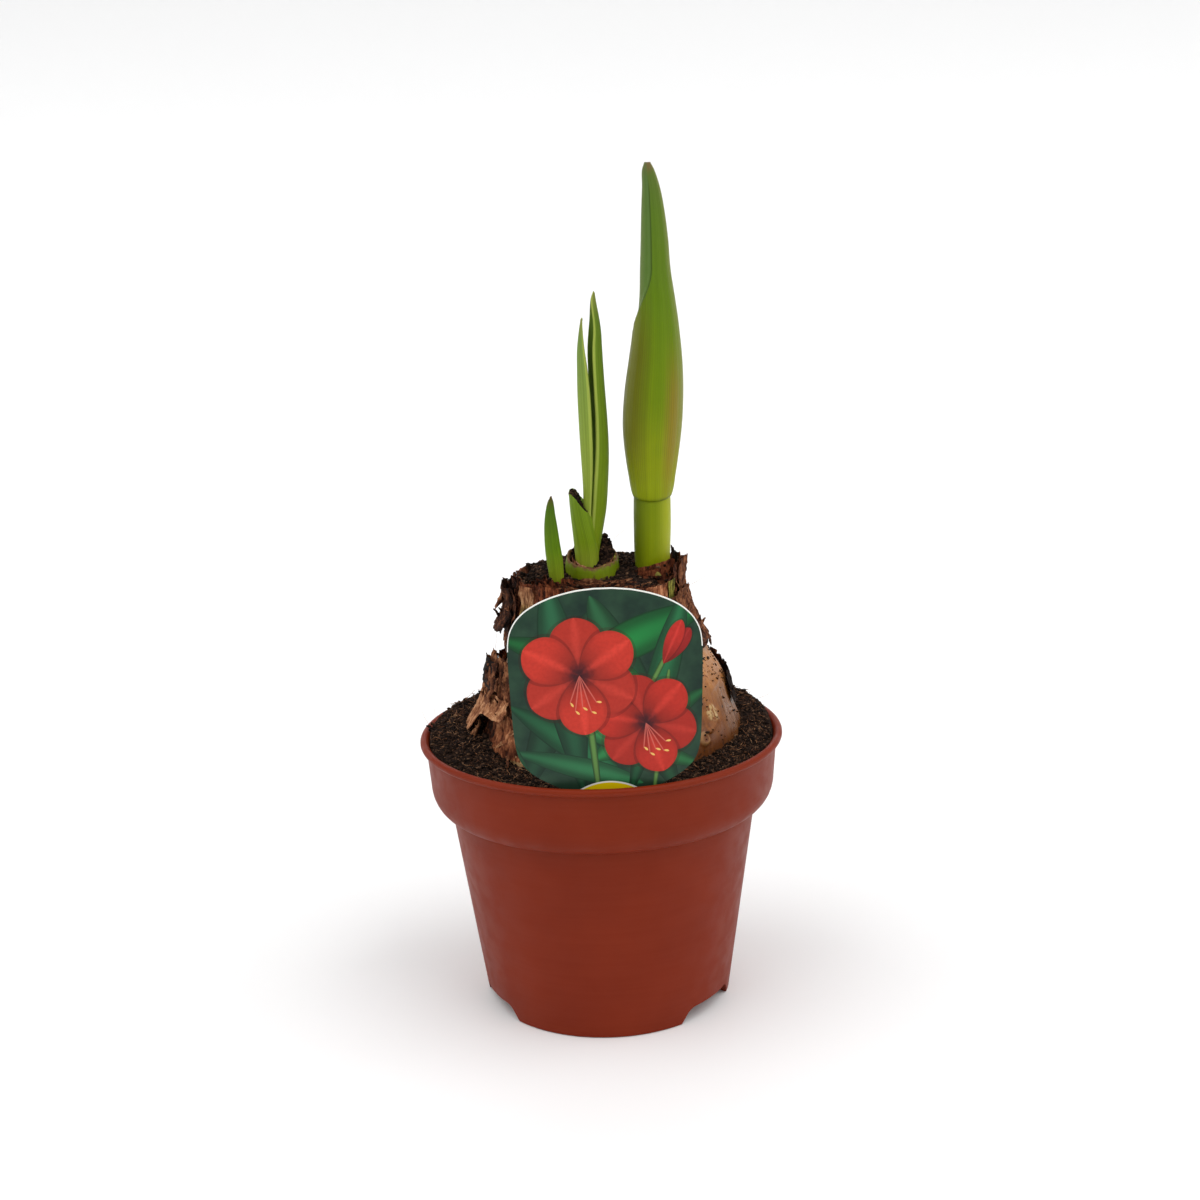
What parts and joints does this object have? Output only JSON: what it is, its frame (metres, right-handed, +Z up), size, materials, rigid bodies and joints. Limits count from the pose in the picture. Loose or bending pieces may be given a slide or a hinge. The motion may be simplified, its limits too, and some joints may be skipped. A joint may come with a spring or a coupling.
{
  "type": "potted amaryllis",
  "caption": "Potted amaryllis bulb in a plastic nursery pot, with a fat flower bud on its stalk, young strap leaves, torn brown bulb skins and a plain picture label.",
  "frame": {"origin": "middle of the pot's underside, on the surface that the pot stands on", "axes": "+Z up the plant, +X to the flower stalk's side, -Y to the front where the label stands"},
  "size_m": [0.13, 0.13, 0.2962],
  "materials": {
    "pot_plastic": "moulded terracotta-coloured polypropylene, soft sheen, specks of mix",
    "potting_mix": "dark crumbly peat-based mix with fine fibres, matt",
    "bulb_skin": "tan papery bulb skin with brown specks and vertical veins, slight sheen",
    "dry_skin": "dry torn brown bulb skins, matt, light and dark streaks",
    "leaf_base": "cut green leaf base with a brown dried edge",
    "leaf": "smooth waxy green leaf with fine lengthwise veins",
    "flower_stalk": "smooth yellow-green hollow stalk, waxy",
    "flower_bud": "waxy green bud sheath, yellower below, reddish flush at one side, fine veins",
    "label_card": null
  },
  "bodies": {
    "root": {"pot": "pot_plastic", "potting_mix": "potting_mix", "bulb": "bulb_skin", "bulb_tunic_left": "dry_skin", "bulb_tunic_back": "dry_skin", "neck_scales": "dry_skin", "nose_mix": "potting_mix", "leaf_base_ring": "leaf_base", "leaf_base_mix": "potting_mix", "cut_leaf_base": "leaf_base", "leaf_right": "leaf", "leaf_left": "leaf", "side_shoot": "leaf", "flower_stalk": "flower_stalk", "flower_bud": "flower_bud", "plant_label": "label_card"}
  },
  "joints": []
}
